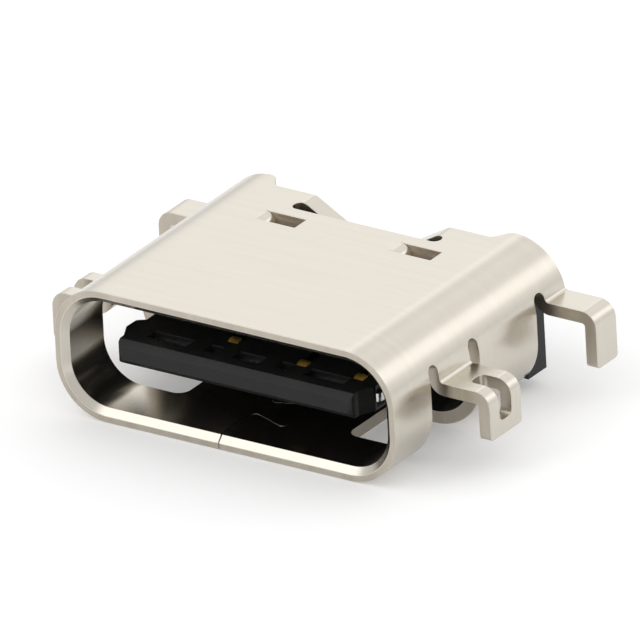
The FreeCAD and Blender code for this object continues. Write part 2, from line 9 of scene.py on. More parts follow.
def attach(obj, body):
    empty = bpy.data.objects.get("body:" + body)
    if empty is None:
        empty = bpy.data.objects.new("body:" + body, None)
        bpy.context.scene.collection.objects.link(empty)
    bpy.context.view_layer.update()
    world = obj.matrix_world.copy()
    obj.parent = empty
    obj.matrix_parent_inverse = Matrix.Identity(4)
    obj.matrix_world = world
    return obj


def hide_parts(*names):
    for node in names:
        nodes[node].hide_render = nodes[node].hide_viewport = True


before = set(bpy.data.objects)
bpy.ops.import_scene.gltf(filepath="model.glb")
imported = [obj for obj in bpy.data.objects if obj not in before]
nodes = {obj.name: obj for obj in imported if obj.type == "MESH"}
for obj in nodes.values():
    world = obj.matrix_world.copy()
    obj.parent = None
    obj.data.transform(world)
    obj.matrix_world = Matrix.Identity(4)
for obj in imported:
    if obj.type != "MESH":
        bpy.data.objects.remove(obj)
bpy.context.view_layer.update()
mm = 0.001

# the camera sees the part in parallel, so one scale holds everywhere; lengths are in mm
cameraSettings = {
    "right": (0.83154, 0.55345, -0.04738),
    "up": (-0.19955, 0.37724, 0.90436),
    "back": (0.51839, -0.74256, 0.42413),
    "mouthCentre": (0.0, -3.65, 1.58),
    "shiftRight": 2.0791,
    "shiftUp": 1.4564,
    "distance": 120.0,
    "clipStart": 1.0,
    "clipEnd": 10000.0,
    "orthoScale": 14.0028,
}


def makeCamera(settings):
    data = bpy.data.cameras.new("view")
    data.type = "ORTHO"
    data.ortho_scale = settings["orthoScale"] * mm
    data.clip_start = settings["clipStart"] * mm
    data.clip_end = settings["clipEnd"] * mm
    camera = bpy.data.objects.new("view", data)
    bpy.context.scene.collection.objects.link(camera)
    right, up, back = (Vector(settings[key]).normalized() for key in ("right", "up", "back"))
    place = Vector(settings["mouthCentre"]) + right * settings["shiftRight"] + up * settings["shiftUp"]
    place = (place + back * settings["distance"]) * mm
    turn = Matrix((right, up, back)).transposed().to_4x4()
    camera.matrix_world = Matrix.Translation(place) @ turn
    bpy.context.scene.camera = camera


makeCamera(cameraSettings)
print("camera placed")


# Every finish has two tones, a range of roughness, and the height of its streaks or grain. "fine" and
# "broad" say how often its two noises repeat: in each metre, or on the shell in each unit of its UV map.
finishSettings = {
    "shell": {
        "name": "satinNickel", "coordinate": "UV", "fine": (16.0, 900.0, 1.0), "broad": (5.0, 110.0, 1.0),
        "colour": (0.625, 0.586, 0.516), "dim": (0.61, 0.571, 0.501), "roughness": (0.20, 0.25),
        "bump": 0.035},
    "edge": {
        "name": "punchedEdge", "fine": (18000.0, 18000.0, 900.0), "broad": (2600.0, 2600.0, 500.0),
        "colour": (0.535, 0.49, 0.42), "dim": (0.465, 0.42, 0.35), "roughness": (0.28, 0.40),
        "bump": 0.08},
    "lanced": {
        "name": "lancedEdge", "fine": (900.0, 900.0, 30000.0), "broad": (900.0, 900.0, 7000.0),
        "colour": (0.80, 0.71, 0.59), "dim": (0.56, 0.48, 0.38), "roughness": (0.62, 0.75),
        "bump": 0.15},
    "moulding": {
        "name": "blackMoulding", "fine": (26000.0, 26000.0, 26000.0), "broad": (900.0, 900.0, 1400.0),
        "colour": (0.0155, 0.0158, 0.0161), "dim": (0.0115, 0.0118, 0.0121), "roughness": (0.35, 0.43),
        "bump": 0.03, "metallic": 0.0, "specular": 0.25, "fineDetail": 2.0},
    "plate": {
        "name": "rolledSteel", "fine": (22000.0, 1200.0, 22000.0), "broad": (3000.0, 400.0, 3000.0),
        "colour": (0.70, 0.69, 0.67), "dim": (0.62, 0.61, 0.59), "roughness": (0.28, 0.40),
        "bump": 0.05},
    "strip": {
        "name": "platedStrip", "fine": (26000.0, 1500.0, 26000.0), "broad": (3500.0, 500.0, 3500.0),
        "colour": (0.44, 0.42, 0.38), "dim": (0.38, 0.36, 0.33), "roughness": (0.10, 0.15),
        "bump": 0.0},
}
# what a finish doesn't say itself
plainFinish = {
    "coordinate": "Object", "metallic": 1.0, "specular": 0.5, "fineDetail": 4.0, "broadDetail": 3.0,
    "noiseRoughness": 0.6, "toneWithin": (0.35, 0.65), "glossWithin": (0.3, 0.7), "bumpDepth": 0.01,
}
# gold on the front end of every contact, its length and the fade behind it in mm
padSettings = {"colour": (0.76, 0.50, 0.11), "roughness": 0.46, "length": 0.22, "fade": 0.02}


def newMaterial(name):
    material = bpy.data.materials.new(name)
    material.use_nodes = True
    tree = material.node_tree
    tree.nodes.clear()
    output = tree.nodes.new("ShaderNodeOutputMaterial")
    shader = tree.nodes.new("ShaderNodeBsdfPrincipled")
    tree.links.new(shader.outputs[0], output.inputs[0])
    return material, tree, shader


def stretchedNoise(tree, source, scale, detail, roughness):
    # Noise read from a coordinate that is scaled unevenly, so its spots are drawn out into streaks.
    mapping = tree.nodes.new("ShaderNodeMapping")
    mapping.inputs["Scale"].default_value = scale
    noise = tree.nodes.new("ShaderNodeTexNoise")
    for key, level in (("Scale", 1.0), ("Detail", detail), ("Roughness", roughness)):
        noise.inputs[key].default_value = level
    tree.links.new(source, mapping.inputs["Vector"])
    tree.links.new(mapping.outputs[0], noise.inputs["Vector"])
    return noise.outputs["Fac"]


def ranged(tree, value, *limits):
    # Carries a value over from one range to another: the limits are from, from, to and to.
    node = tree.nodes.new("ShaderNodeMapRange")
    for key, level in zip(("From Min", "From Max", "To Min", "To Max"), limits):
        node.inputs[key].default_value = level
    tree.links.new(value, node.inputs["Value"])
    return node.outputs["Result"]


def blended(tree, kind, share, first, second):
    # Goes from the first value to the second with the share. Each is a socket or a plain value.
    node = tree.nodes.new("ShaderNodeMix")
    node.data_type = kind
    tree.links.new(share, node.inputs["Factor"])
    for key, value in (("A", first), ("B", second)):
        if isinstance(value, bpy.types.NodeSocket):
            tree.links.new(value, node.inputs[key])
        else:
            node.inputs[key].default_value = value
    return node.outputs["Result"]


def makeFinish(look):
    # The fine noise lifts the surface and sets its roughness, and the broad one tones the colour.
    look = {**plainFinish, **look}
    material, tree, shader = newMaterial(look["name"])
    source = tree.nodes.new("ShaderNodeTexCoord").outputs[look["coordinate"]]
    fine = stretchedNoise(tree, source, look["fine"], look["fineDetail"], look["noiseRoughness"])
    broad = stretchedNoise(tree, source, look["broad"], look["broadDetail"], look["noiseRoughness"])
    tone = ranged(tree, broad, *look["toneWithin"], 0, 1)
    colour = blended(tree, "RGBA", tone, (*look["colour"], 1.0), (*look["dim"], 1.0))
    tree.links.new(colour, shader.inputs["Base Color"])
    gloss = ranged(tree, fine, *look["glossWithin"], *look["roughness"])
    tree.links.new(gloss, shader.inputs["Roughness"])
    shader.inputs["Metallic"].default_value = look["metallic"]
    shader.inputs["Specular IOR Level"].default_value = look["specular"]
    bump = tree.nodes.new("ShaderNodeBump")
    bump.inputs["Strength"].default_value = look["bump"]
    bump.inputs["Distance"].default_value = look["bumpDepth"] * mm
    tree.links.new(fine, bump.inputs["Height"])
    tree.links.new(bump.outputs["Normal"], shader.inputs["Normal"])
    return material


def makePlated(look, pad):
    # A drawn strip with gold on its front part. "fromFront" is the distance from its front end in mm.
    material = makeFinish(look)
    tree = material.node_tree
    shader = tree.nodes["Principled BSDF"]
    along = tree.nodes.new("ShaderNodeAttribute")
    along.attribute_name = "fromFront"
    gilt = ranged(tree, along.outputs["Fac"], pad["length"], pad["length"] + pad["fade"], 1, 0)
    plating = (("RGBA", "Base Color", (*pad["colour"], 1.0)), ("FLOAT", "Roughness", pad["roughness"]))
    for kind, key, value in plating:
        socket = shader.inputs[key]
        tree.links.new(blended(tree, kind, gilt, socket.links[0].from_socket, value), socket)
    return material


shellMetal, edgeMetal, lancedMetal, blackPlastic, plateMetal = (
    makeFinish(finishSettings[key]) for key in ("shell", "edge", "lanced", "moulding", "plate"))
platedMetal = makePlated(finishSettings["strip"], padSettings)

finishes = {"shell": shellMetal, "housing": blackPlastic, "latch_plate": plateMetal}
for name, node in nodes.items():
    node.data.materials.clear()
    node.data.materials.append(finishes.get(name, platedMetal))
print("finishes made")


# Outlines are drawn on the sheet's flat pattern in mm: u runs around the sheet from the middle of its
# top, and y runs back from its front edge.
outlineSettings = {"stepAngle": 6.0, "halvings": 12, "batch": 500, "samePoint": 1e-3, "straightRun": 0.05}


def roundedPath(corners, closed, stepAngle=outlineSettings["stepAngle"]):
    # Straight runs joined by tangent arcs. A corner is (x, y, radius): the arc's centre lies on the
    # corner's bisector, at the radius over the sine of half the angle, and the arc is swept about it.
    corners = np.array(corners, float)
    count = len(corners)
    pieces = []
    for i in range(count):
        here, radius = corners[i, :2], corners[i, 2]
        if radius == 0 or (not closed and i in (0, count - 1)):
            pieces.append(here[None])
            continue
        back = corners[i - 1, :2] - here
        ahead = corners[(i + 1) % count, :2] - here
        back, ahead = back / np.hypot(*back), ahead / np.hypot(*ahead)
        half = math.acos(np.clip(back @ ahead, -1, 1)) / 2
        bisector = (back + ahead) / np.hypot(*(back + ahead))
        centre = here + bisector * radius / math.sin(half)
        first = here + back * radius / math.tan(half) - centre
        last = here + ahead * radius / math.tan(half) - centre
        sweep = math.atan2(first[0] * last[1] - first[1] * last[0], first @ last)
        turns = np.linspace(0, sweep, max(3, int(abs(math.degrees(sweep)) / stepAngle) + 2))
        cosine, sine = np.cos(turns), np.sin(turns)
        arc = np.stack([first[0] * cosine - first[1] * sine, first[0] * sine + first[1] * cosine], 1)
        pieces.append(arc + centre)
    return np.concatenate(pieces)


def splitLong(loop, spacingAt):
    # Halves every side of a closed outline that is longer than the spacing allowed at its middle.
    for _ in range(outlineSettings["halvings"]):
        ahead = np.roll(loop, -1, 0)
        middle = (loop + ahead) / 2
        tooLong = np.hypot(*(ahead - loop).T) > spacingAt(middle)
        if not tooLong.any():
            break
        loop = np.insert(loop, np.flatnonzero(tooLong) + 1, middle[tooLong], 0)
    return loop


def outwardDirections(loop):
    # Unit directions that leave the material, which lies left of the outline, and how far a corner's
    # mitre runs for each unit of offset, at most 2.
    ahead = np.roll(loop, -1, 0) - loop
    ahead = ahead / np.hypot(*ahead.T)[:, None]
    right = np.stack([ahead[:, 1], -ahead[:, 0]], 1)
    both = right + np.roll(right, 1, 0)
    both = both / np.hypot(*both.T)[:, None]
    return both, 1 / np.maximum((both * right).sum(1), 0.5)


def mirrored(loop):
    # The same outline on the other side of the middle, still with its material on the left.
    return (loop * (-1, 1))[::-1]


def insideOf(points, loops):
    # Even-odd rule: a line from a point in the material crosses the outlines an odd number of times.
    inside = np.zeros(len(points), bool)
    x, y = points[:, 0, None], points[:, 1, None]
    for loop in loops:
        ax, ay = loop.T
        bx, by = np.roll(loop, -1, 0).T
        level = np.where(by == ay, 1.0, by - ay)
        crosses = ((ay > y) != (by > y)) & (x < (bx - ax) * (y - ay) / level + ax)
        inside ^= crosses.sum(1) % 2 == 1
    return inside


def clearOf(points, loops, distance):
    # Keeps the points that are further than the distance from every outline.
    keep = np.ones(len(points), bool)
    batches = np.array_split(np.arange(len(points)), max(1, len(points) // outlineSettings["batch"]))
    for loop in loops:
        side = np.roll(loop, -1, 0) - loop
        length = (side ** 2).sum(1)
        for part in batches:
            offset = points[part, None] - loop[None]
            share = np.clip((offset * side).sum(2) / length, 0, 1)
            gap = np.hypot(*(offset - share[..., None] * side).transpose(2, 0, 1))
            keep[part] &= gap.min(1) > distance
    return points[keep]


def sectionAlong(corners, stepAngle=1.0):
    # A line that the sheet is folded along, as a table of distance, place and direction.
    points = roundedPath(corners, False, stepAngle)
    apart = np.hypot(*np.diff(points, axis=0).T) > outlineSettings["samePoint"]
    points = points[np.concatenate([[True], apart])]
    runs = np.diff(points, axis=0)
    lengths = np.hypot(*runs.T)
    heading = np.unwrap(np.arctan2(runs[:, 1], runs[:, 0]))
    turned = np.concatenate([heading[:1], (heading[1:] + heading[:-1]) / 2, heading[-1:]])
    straight = np.flatnonzero(lengths > outlineSettings["straightRun"])
    turned[straight], turned[straight + 1] = heading[straight], heading[straight]
    return {"at": np.concatenate([[0], np.cumsum(lengths)]), "points": points, "heading": turned}


def readSection(section, distance):
    # Place on the section and its normal, which is its direction turned a quarter to the left.
    x = np.interp(distance, section["at"], section["points"][:, 0])
    z = np.interp(distance, section["at"], section["points"][:, 1])
    heading = np.interp(distance, section["at"], section["heading"])
    return np.stack([x, z, -np.sin(heading), np.cos(heading)])


sheetSettings = {
    "clearance": 0.012,  # strip along every outline that is kept free of inner points
    "onCrease": 1e-6, "samePoint": 1e-7, "sliver": 1e-5,
    "patternScale": 0.05, "patternMiddle": 0.5,  # the flat pattern's place in the UV map
}


def cutPattern(inset, inner, creases):
    # Cuts the flat pattern into triangles between its outlines. "source" says which point of the result
    # each outline point became.
    flat = np.concatenate(inset + [inner])
    edges, start = [], 0
    for loop in inset:
        index = np.arange(start, start + len(loop))
        edges.append(np.stack([index, np.roll(index, -1)], 1))
        start += len(loop)
    for low, high, level in creases:
        on = np.flatnonzero(np.abs(flat[:, 1] - level) < sheetSettings["onCrease"])
        on = on[(flat[on, 0] >= low) & (flat[on, 0] <= high)]
        on = on[np.argsort(flat[on, 0])]
        edges.append(np.stack([on[:-1], on[1:]], 1))
    edges = np.concatenate(edges)
    result = delaunay_2d_cdt(
        [Vector(p) for p in flat.tolist()], edges.tolist(), [], 0, sheetSettings["samePoint"])
    flat = np.array([tuple(p) for p in result[0]])
    source = np.full(start, -1)
    for new, old in enumerate(result[3]):
        for o in old:
            if o < start:
                source[o] = new
    triangles = np.array(result[2])
    triangles = triangles[insideOf(flat[triangles].mean(1), inset)]
    a, b, c = (flat[triangles[:, k]] for k in range(3))
    area = (b[:, 0] - a[:, 0]) * (c[:, 1] - a[:, 1]) - (b[:, 1] - a[:, 1]) * (c[:, 0] - a[:, 0])
    triangles[area < 0] = triangles[area < 0][:, ::-1]
    longest = np.max([np.hypot(*side.T) for side in (a - b, b - c, c - a)], axis=0)
    return flat, triangles[np.abs(area) > sheetSettings["sliver"] * longest], source


def formSheet(name, loops, inner, fold, thicknessAt, edgeRadius, origin, creases, roughLoops):
    # Every point (u, y) of the flat pattern is folded to its place on the outer face, and the inner face
    # lies the sheet's thickness behind it along the normal. Between the faces runs an edge whose corners
    # are broken by edgeRadius. A crease is a line of inner points from u to u at one y, and the outlines
    # in roughLoops get the third finish.
    directions = [outwardDirections(loop) for loop in loops]
    inset = [loop - way * (reach * edgeRadius)[:, None] for loop, (way, reach) in zip(loops, directions)]
    inner = clearOf(inner[insideOf(inner, inset)], inset, sheetSettings["clearance"])
    flat, triangles, source = cutPattern(inset, inner, creases)

    def placed(points, depth):
        x, z, nx, nz = fold(points[:, 0], points[:, 1])
        place = np.stack([x - depth * nx, points[:, 1], z - depth * nz], 1)
        return place, np.stack([nx, 0 * nx, nz], 1)

    thickness, slope = thicknessAt(flat[:, 0], flat[:, 1])
    outerPlace, outerNormal = placed(flat, 0 * thickness)
    innerPlace, _ = placed(flat, thickness)
    rim = np.concatenate(loops)
    rimThickness, _ = thicknessAt(rim[:, 0], rim[:, 1])
    way = np.concatenate([d[0] for d in directions])
    upperRim, rimNormal = placed(rim, 0 * rimThickness + edgeRadius)
    lowerRim, _ = placed(rim, rimThickness - edgeRadius)
    across = np.stack([rimNormal[:, 2], 0 * way[:, 0], -rimNormal[:, 0]], 1)
    rimWay = across * way[:, :1] + np.array([0, 1, 0]) * way[:, 1:]
    places = np.concatenate([outerPlace, innerPlace, upperRim, lowerRim])
    count, rims = len(flat), len(rim)
    strips, middleStrips, start = [], [], 0
    for loop in loops:
        i = np.arange(start, start + len(loop))
        j = np.roll(i, -1)
        top, low = 2 * count, 2 * count + rims
        middleStrips.append(sum(len(strip) for strip in strips) + len(loop))
        strips.append(np.stack([source[i], top + i, top + j, source[j]], 1))
        strips.append(np.stack([top + i, low + i, low + j, top + j], 1))
        strips.append(np.stack([low + i, count + source[i], count + source[j], low + j], 1))
        start += len(loop)
    strips = np.concatenate(strips)
    flipped = triangles[:, ::-1]
    innerTriangles = flipped + count
    # The inner face is flat but for its lead-in, a 45 degree slope that faces inward and forward.
    tilted = -outerNormal - slope[:, None] * np.array([0, 1, 0])
    tilted = tilted / np.linalg.norm(tilted, axis=1)[:, None]
    stripNormal = np.concatenate([outerNormal, tilted, rimWay, rimWay])
    middles = flat[triangles].mean(1)
    sloping = thicknessAt(middles[:, 0], middles[:, 1])[1] > 0
    leadIn = (-outerNormal - np.array([0, 1, 0])) / math.sqrt(2)
    innerNormals = np.where(sloping[:, None, None], leadIn[flipped], -outerNormal[flipped])
    mesh = bpy.data.meshes.new(name)
    faces = triangles.tolist() + innerTriangles.tolist() + strips.tolist()
    mesh.from_pydata((places + origin) * mm, [], faces)
    pattern = np.concatenate([flat, flat, rim, rim])
    layer = mesh.uv_layers.new(name="sheet")
    order = np.concatenate([triangles.ravel(), innerTriangles.ravel(), strips.ravel()])
    pattern = pattern[order].ravel() * sheetSettings["patternScale"] + sheetSettings["patternMiddle"]
    layer.data.foreach_set("uv", pattern)
    normals = (outerNormal[triangles], innerNormals, stripNormal[strips])
    corners = np.concatenate([part.reshape(-1, 3) for part in normals])
    slots = np.zeros(len(faces), np.int32)
    edgeFaces = np.concatenate([np.arange(len(loop)) + at for loop, at in zip(loops, middleStrips)])
    slots[len(triangles) * 2 + edgeFaces] = 1
    rough = np.concatenate([np.full(len(loop), at in roughLoops) for at, loop in enumerate(loops)])
    slots[len(triangles) * 2 + edgeFaces[rough]] = 2
    mesh.polygons.foreach_set("material_index", slots)
    mesh.shade_smooth()
    mesh.normals_split_custom_set(corners.tolist())
    mesh.update()
    piece = bpy.data.objects.new(name, mesh)
    bpy.context.scene.collection.objects.link(piece)
    print(name, "made of", len(faces), "faces")
    return piece


shellSettings = {
    "width": 8.94, "height": 3.16, "corner": 1.28, "sheet": 0.30, "leadIn": 0.15, "edgeRadius": 0.012,
    "front": (0, -3.65, 1.58),  # where the middle of the front edge lies
    "sideEnd": 5.64, "rearEnd": 6.82, "stripEnd": 6.40,
    "step": (2.86, 3.10, 0.20),  # of the rear outline: inner end, outer end and rounding
    "opening": (1.465, 3.375, 2.15, 0.28),  # front, rear, inner end and corner
    "slot": 0.345, "rearSlot": 0.385, "slotTop": 0.78,
    "legFace": 5.76, "legBend": 0.38, "legRoot": 0.09, "legTip": -0.84, "tipCorner": 0.11,
    "frontWing": 0.31, "rearWing": 0.50,
    "hole": (5.0, -0.49, 0.47, 0.16),  # in the front legs: start, end, width and corner
    "slit": (1.93, 5.60, 5.93),  # end, front and rear
    "bridge": (1.75, 0.60, 30.0, 0.35, 0.05),  # reach, drop, slope in degrees, upper and lower bend
    "windows": (1.785, 1.055, 4.77, 5.23),  # offset, length, front and rear
    "windowCorner": 0.02,
    "tab": (0.30, 0.54, 0.006),  # bend, drop and kerf
    "tabThin": (0.32, 0.01),  # thinning at a tab's bend: its reach, and its excess over what is needed
    "seam": (-0.26, 0.016),  # place and gap
    "key": (1.74, 0.29, 0.67, 1.01, 0.12),  # middle, half neck, half head, length and corner
    "endRound": 0.49,  # rounding of a slot's end, for its width
}
# the longest sides allowed on the sheet's outlines, how far the short ones reach, and margins
meshSettings = {
    "plain": 0.09, "bend": 0.06, "root": 0.012, "leg": 0.035, "slit": 0.03, "tab": 0.02,
    "rootReach": 0.12, "legReach": 2.0, "slitReach": 0.8, "bridgeReach": 0.12,
    "margin": 0.1, "smallMargin": 0.05, "hair": 0.02, "slack": 0.001,
}


def spread(low, high, step):
    # Even values from low to high, about the step apart.
    return np.linspace(low, high, max(2, int(round((high - low) / step)) + 1))


def gridOf(uFrom, uTo, uStep, yFrom, yTo, yStep):
    # Evenly spaced points over a rectangle of the pattern.
    rows = np.meshgrid(spread(uFrom, uTo, uStep), spread(yFrom, yTo, yStep))
    return np.stack(rows, 2).reshape(-1, 2)


def makeShell(s):
    margin, small, hair, slack, bridgeReach = (
        meshSettings[key] for key in ("margin", "smallMargin", "hair", "slack", "bridgeReach"))
    halfWidth, halfHeight, corner = s["width"] / 2, s["height"] / 2, s["corner"]
    topRun, sideRun, bend = halfWidth - corner, s["height"] - 2 * corner, corner * math.pi / 2
    halfGirth = 2 * topRun + sideRun + 2 * bend
    reach, drop, slope, wide, narrow = s["bridge"]
    floorReach = reach - drop / math.tan(math.radians(slope))
    shoulder, tabDrop, kerf = s["tab"]
    windowOffset, windowLength, windowFront, windowRear = s["windows"]
    windowEnds = [side * windowOffset - windowLength / 2 for side in (-1, 1)]
    openFront, openRear, openInner, openCorner = s["opening"]
    legFront, legRear = openFront + s["slot"], openRear - s["slot"]
    rearFront = s["sideEnd"] + s["rearSlot"]
    slitEnd, slitFront, slitRear = s["slit"]
    slotTop = topRun + corner * (math.pi / 2 - math.asin((s["slotTop"] - halfHeight + corner) / corner))

    # sections of the ring, the two rows of legs, the bridge and the tabs
    ring = sectionAlong([
        (0, halfHeight, 0), (halfWidth, halfHeight, corner), (halfWidth, -halfHeight, corner),
        (-1, -halfHeight, 0)])
    legs = {}
    for row, wing in (("front", s["frontWing"]), ("rear", s["rearWing"])):
        angle = math.asin((wing + s["legRoot"] - halfHeight + corner) / (corner + s["legRoot"]))
        startX, startZ = topRun + corner * math.cos(angle), halfHeight - corner + corner * math.sin(angle)
        line = sectionAlong([
            (startX, startZ, 0), (startX + (startZ - wing) * math.tan(angle), wing, s["legRoot"]),
            (s["legFace"], wing, s["legBend"]), (s["legFace"], s["legTip"], 0)], stepAngle=2.0)
        root = topRun + corner * (math.pi / 2 - angle)
        legs[row] = {"root": root, "line": line, "wing": wing, "tip": root + line["at"][-1]}
    valley = roundedPath([
        (0, halfHeight - drop, 0), (floorReach, halfHeight - drop, narrow), (reach, halfHeight, wide),
        (reach + 0.5, halfHeight, 0)], False, stepAngle=2.0)
    valleyRise = np.gradient(valley[:, 1], valley[:, 0])
    tabLine = sectionAlong([
        (0, halfHeight, 0), (shoulder, halfHeight, shoulder),
        (shoulder, halfHeight - shoulder - tabDrop, 0)], stepAngle=3.0)

    def fold(u, y):
        # Place and normal, in x and z, of points on the pattern. Legs, bridge and tabs leave the ring.
        side, distance = np.where(u < 0, -1.0, 1.0), np.abs(u)
        out = readSection(ring, distance)
        for row, low, high in (("front", legFront, legRear), ("rear", rearFront, s["rearEnd"])):
            leg = legs[row]
            on = (y > low - margin) & (y < high + margin)
            on &= (distance > leg["root"]) & (distance < leg["tip"] + small)
            out = np.where(on, readSection(leg["line"], distance - leg["root"]), out)
        on = (y > (slitFront + slitRear) / 2) & (distance < reach + bridgeReach)
        rise = np.interp(distance, valley[:, 0], valleyRise)
        size = np.hypot(rise, 1)
        swaged = np.stack([distance, np.interp(distance, *valley.T), -rise / size, 1 / size])
        out = np.where(on, swaged, out)
        out[[0, 2]] *= side
        for end in windowEnds:
            along = u - end
            on = (y > windowFront) & (y < windowRear) & (along > 0) & (along < windowLength - hair)
            folded = readSection(tabLine, along)
            folded[0] += end
            out = np.where(on, folded, out)
        return out

    def thicknessAt(u, y):
        # Thickness, and whether it slopes. It thins towards the front edge, and where a tab is bent down.
        leadIn = y < s["leadIn"] - sheetSettings["onCrease"]
        thickness = np.where(leadIn, s["sheet"] - s["leadIn"] + y, s["sheet"])
        thinReach, thinDepth = s["tabThin"]
        for end in windowEnds:
            on = (y > windowFront - slack) & (y < windowRear + slack)
            near = np.clip(1 - np.abs(u - end - shoulder * math.pi / 4) / thinReach, 0, 1)
            near = near * near * (3 - 2 * near)
            thickness = np.where(on, thickness - (s["sheet"] - shoulder + thinDepth) * near, thickness)
        return thickness, leadIn.astype(float)

    def seamEnds():
        # The seam's line is moved by half the gap to each side. The left end carries the dovetailed key,
        # and the right end its socket.
        seamX, gap = s["seam"]
        middle, neck, head, length, keyCorner = s["key"]
        centreLine = roundedPath([
            (seamX, 0, 0), (seamX, s["leadIn"], 0), (seamX, middle - neck, keyCorner),
            (seamX + length, middle - head, keyCorner), (seamX + length, middle + head, keyCorner),
            (seamX, middle + neck, keyCorner), (seamX, s["sideEnd"], 0)], False, stepAngle=8.0)
        runs = np.diff(centreLine, axis=0)
        runs = runs / np.hypot(*runs.T)[:, None]
        runs = np.concatenate([runs[:1], runs[1:] + runs[:-1], runs[-1:]])
        runs = runs / np.hypot(*runs.T)[:, None]
        leftOf = np.stack([-runs[:, 1], runs[:, 0]], 1) * gap / 2
        left, right = centreLine + leftOf, centreLine - leftOf
        left[:, 0], right[:, 0] = -halfGirth - left[:, 0], halfGirth - right[:, 0]
        return left, right

    def sheetOutline():
        left, right = seamEnds()
        stepIn, stepOut, stepRound = s["step"]
        tip, tipCorner, slotRound = legs["rear"]["tip"], s["tipCorner"], s["rearSlot"] * s["endRound"]
        rear = [
            (slotTop, s["sideEnd"], slotRound), (slotTop, rearFront, slotRound),
            (tip, rearFront, tipCorner), (tip, s["rearEnd"], tipCorner),
            (stepOut, s["rearEnd"], stepRound), (stepIn, s["stripEnd"], stepRound)]
        rear += [(-x, y, r) for x, y, r in reversed(rear)]
        rear = [(right[-1, 0], s["sideEnd"], 0)] + rear + [(left[-1, 0], s["sideEnd"], 0)]
        return np.concatenate([right[:-1], roundedPath(rear, False), left[:-1][::-1]])

    def sideOpenings():
        # The opening that a front leg is bent out of, and the hole pierced in the leg, on both sides.
        leg, tipCorner, slotRound = legs["front"], s["tipCorner"], s["slot"] * s["endRound"]
        tip, inner = leg["tip"], halfGirth - openInner
        opening = roundedPath([
            (inner, openFront, openCorner), (slotTop, openFront, slotRound),
            (slotTop, legFront, slotRound), (tip, legFront, tipCorner), (tip, legRear, tipCorner),
            (slotTop, legRear, slotRound), (slotTop, openRear, slotRound),
            (inner, openRear, openCorner)], True)
        holeStart, holeEnd, holeWidth, holeCorner = s["hole"]
        across, at = leg["line"]["points"][:-2, 0], leg["line"]["at"][:-2]
        holeInner = leg["root"] + np.interp(holeStart, across, at)
        holeOuter = tip - (holeEnd - s["legTip"])
        centre = (openFront + openRear) / 2
        low, high = centre - holeWidth / 2, centre + holeWidth / 2
        hole = roundedPath([
            (holeInner, low, holeCorner), (holeInner, high, holeCorner), (holeOuter, high, holeCorner),
            (holeOuter, low, holeCorner)], True)
        return [opening, mirrored(opening), hole, mirrored(hole)]

    def topOpenings():
        # The slit, and the two windows with their tabs.
        slitRound, windowCorner = (slitRear - slitFront) * s["endRound"], s["windowCorner"]
        openings = [roundedPath([
            (-slitEnd, slitFront, slitRound), (-slitEnd, slitRear, slitRound),
            (slitEnd, slitRear, slitRound), (slitEnd, slitFront, slitRound)], True)]
        for end in windowEnds:
            tabEnd, far = end + tabLine["at"][-1], end + windowLength
            openings.append(roundedPath([
                (far, windowFront, windowCorner), (end, windowFront, 0), (end, windowFront + kerf, 0),
                (tabEnd, windowFront + kerf, windowCorner), (tabEnd, windowRear - kerf, windowCorner),
                (end, windowRear - kerf, 0), (end, windowRear, 0),
                (far, windowRear, windowCorner)], True))
        return openings

    def spacingAt(points):
        # Longest side allowed on an outline, shorter where the sheet is bent.
        distance, y = np.abs(points[:, 0]), points[:, 1]
        spacing = np.full(len(points), meshSettings["plain"])
        on = (distance > topRun - margin) & (distance < halfGirth - topRun + margin)
        spacing = np.where(on, meshSettings["bend"], spacing)
        for leg in legs.values():
            root, tip = leg["root"], leg["tip"]
            on = (distance > root - hair) & (distance < root + meshSettings["rootReach"])
            on &= (y > openFront + 2 * margin) & ((y < openRear - 2 * margin) | (y > rearFront - margin))
            spacing = np.where(on, meshSettings["root"], spacing)
            on = (distance > tip - meshSettings["legReach"]) & (distance < tip)
            on &= (y > legFront - margin) & ((y < legRear + margin) | (y > rearFront - margin))
            spacing = np.where(on, meshSettings["leg"], spacing)
        on = (y > slitFront - small) & (y < slitRear + meshSettings["slitReach"])
        spacing = np.where(on & (distance < slitEnd + margin), meshSettings["slit"], spacing)
        for end in windowEnds:
            on = (y > windowFront - hair) & (y < windowRear + hair)
            on &= np.abs(points[:, 0] - end - margin) < 2 * margin
            spacing = np.where(on, meshSettings["tab"], spacing)
        return spacing

    def innerPoints():
